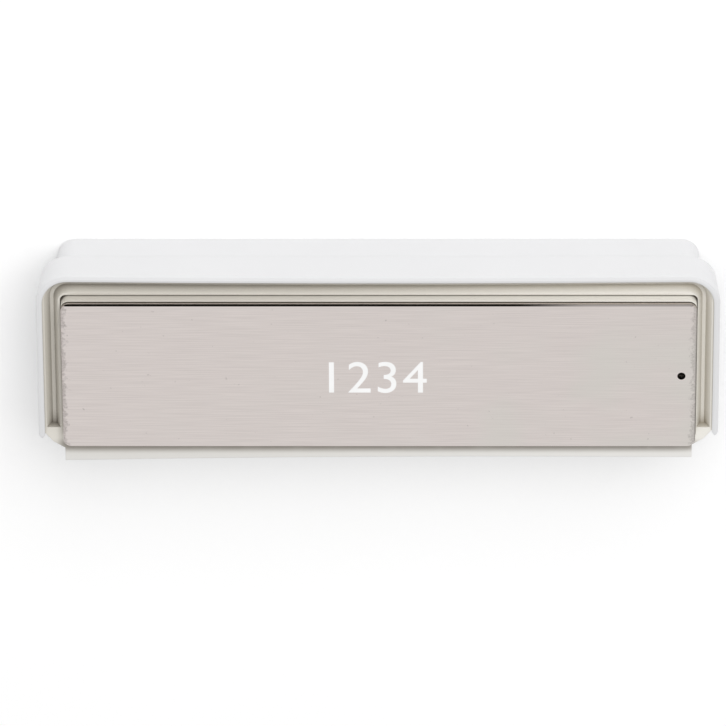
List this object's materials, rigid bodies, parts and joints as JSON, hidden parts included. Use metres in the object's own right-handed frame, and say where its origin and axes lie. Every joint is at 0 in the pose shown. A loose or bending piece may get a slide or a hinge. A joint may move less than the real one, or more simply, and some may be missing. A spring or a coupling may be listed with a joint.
{
  "type": "name badge",
  "caption": "Long name badge: a brushed metal name plate on a thin carrier, seated in a white moulded housing with a rim on three sides and a hidden pin clasp.",
  "frame": {"origin": "middle of the footprint, on the plane that the back rests on", "axes": "+X along the badge to the reader's right, +Y up the face, +Z out of the face"},
  "size_m": [0.0754, 0.0238, 0.0114],
  "materials": {
    "white_plastic": "white moulded ABS, satin",
    "cream_plastic": "cream moulded plastic, satin",
    "brushed_metal": "fine brushing along the length",
    "clasp_steel": "plain nickel-plated steel"
  },
  "bodies": {
    "root": {"housing": "white_plastic", "carrier": "cream_plastic", "name_plate": "brushed_metal", "pin_clasp": "clasp_steel"}
  },
  "joints": []
}
